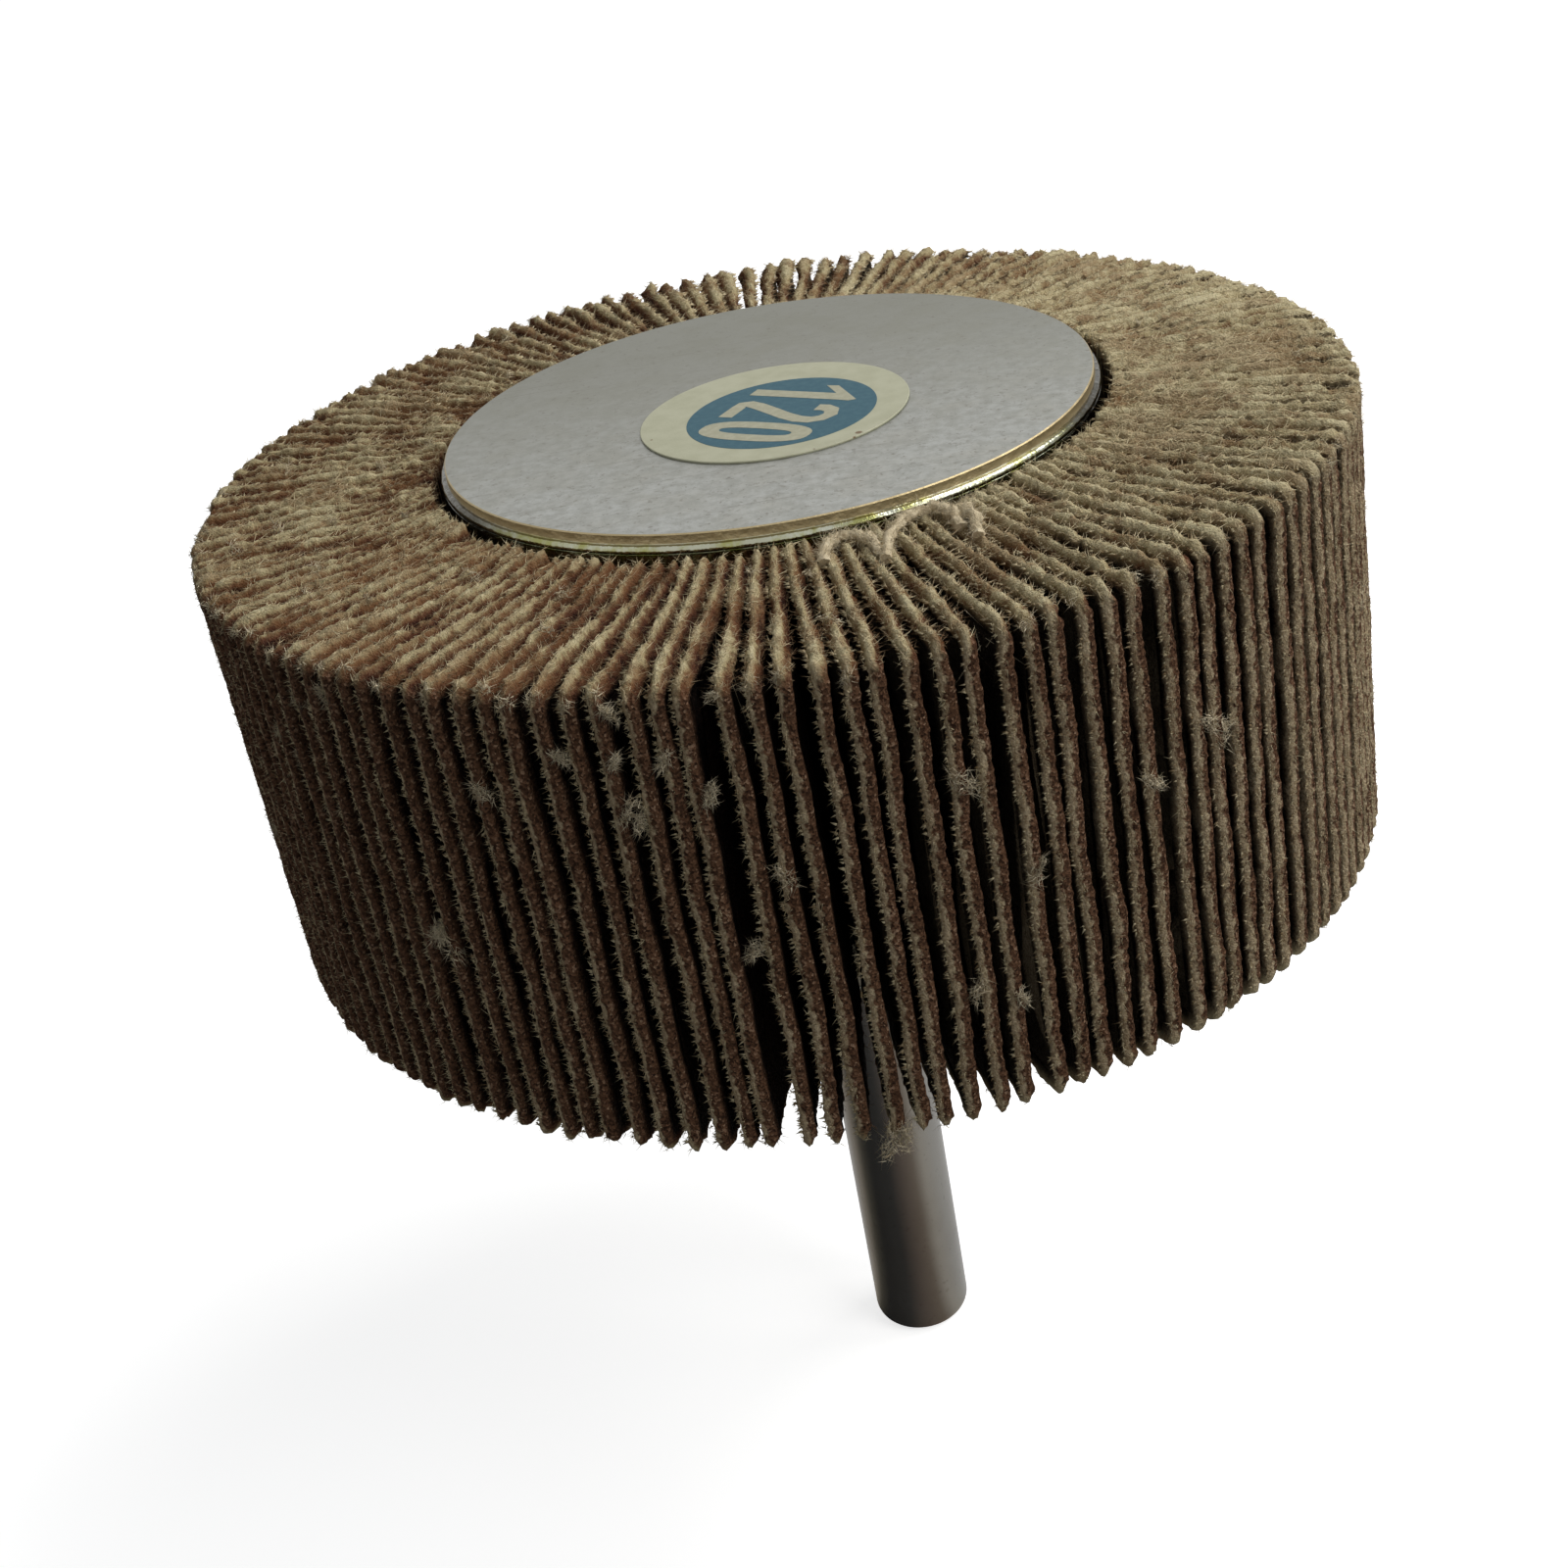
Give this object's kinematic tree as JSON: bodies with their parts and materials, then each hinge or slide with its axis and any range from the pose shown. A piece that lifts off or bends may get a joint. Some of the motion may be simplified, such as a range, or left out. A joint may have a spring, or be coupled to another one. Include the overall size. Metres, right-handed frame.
{
  "type": "flap wheel",
  "caption": "Shaft-mounted flap wheel: radial abrasive cloth flaps set in a resin core between two pressed steel caps, on a plain round shank.",
  "frame": {"origin": "on the wheel's axis, where the shank leaves the rear cap's outer face", "axes": "+Z along the wheel's axis, from the shank towards the labelled front cap; -Z points out of the shank's free end"},
  "size_m": [0.062, 0.062, 0.0633],
  "materials": {
    "abrasive_cloth": "cotton cloth with brown grit bonded to one side",
    "cap_steel": "satin zinc-plated pressed steel",
    "shank_steel": "ground steel",
    "core_resin": "cast amber-brown resin",
    "label_paper": "coated paper with a printed blue field"
  },
  "bodies": {
    "root": {"shank": "shank_steel", "resin_core": "core_resin", "front_cap": "cap_steel", "rear_cap": "cap_steel", "grit_label": "label_paper", "flap_pack_01": "abrasive_cloth", "flap_pack_02": "abrasive_cloth", "flap_pack_03": "abrasive_cloth", "flap_pack_04": "abrasive_cloth", "flap_pack_05": "abrasive_cloth", "flap_pack_06": "abrasive_cloth", "flap_pack_07": "abrasive_cloth", "flap_pack_08": "abrasive_cloth", "flap_pack_09": "abrasive_cloth", "flap_pack_10": "abrasive_cloth", "flap_pack_11": "abrasive_cloth", "flap_pack_12": "abrasive_cloth", "flap_pack_13": "abrasive_cloth", "flap_pack_14": "abrasive_cloth", "flap_pack_15": "abrasive_cloth", "flap_pack_16": "abrasive_cloth", "flap_pack_17": "abrasive_cloth", "flap_pack_18": "abrasive_cloth", "flap_pack_19": "abrasive_cloth", "flap_pack_20": "abrasive_cloth", "flap_pack_21": "abrasive_cloth", "flap_pack_22": "abrasive_cloth", "flap_pack_23": "abrasive_cloth", "flap_pack_24": "abrasive_cloth"}
  },
  "joints": []
}
